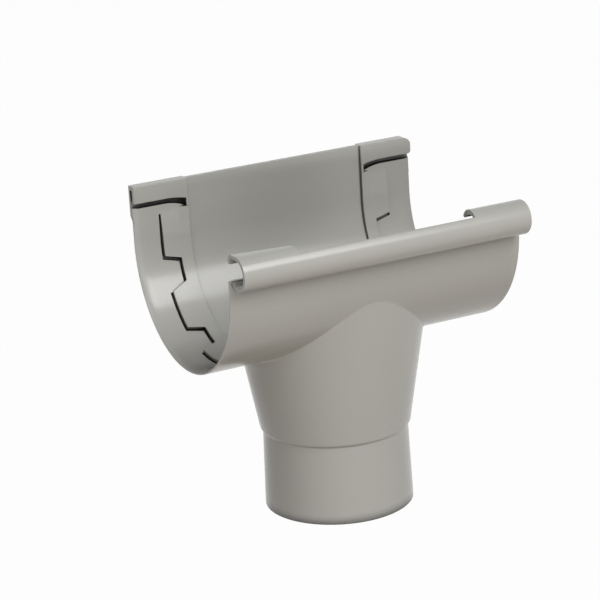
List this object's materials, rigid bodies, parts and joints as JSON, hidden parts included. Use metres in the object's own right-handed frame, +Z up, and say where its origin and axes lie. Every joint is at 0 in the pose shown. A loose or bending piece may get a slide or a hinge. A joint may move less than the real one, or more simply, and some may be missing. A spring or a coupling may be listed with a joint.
{
  "type": "gutter outlet",
  "caption": "Half-round gutter outlet with a rolled front bead, clips and hooks at its ends, and a funnel that narrows to a round spigot.",
  "frame": {"origin": "centre of the bounding box at the level of the spigot's lower end, 6.25 mm in front of the spigot's axis", "axes": "+X along the gutter, -Y towards the rolled front bead, +Z up along the spigot"},
  "size_m": [0.1686, 0.1308, 0.1768],
  "materials": {
    "light_grey_plastic": "warm light grey moulded plastic with a soft gloss"
  },
  "bodies": {
    "root": {"gutter_outlet": "light_grey_plastic"}
  },
  "joints": []
}
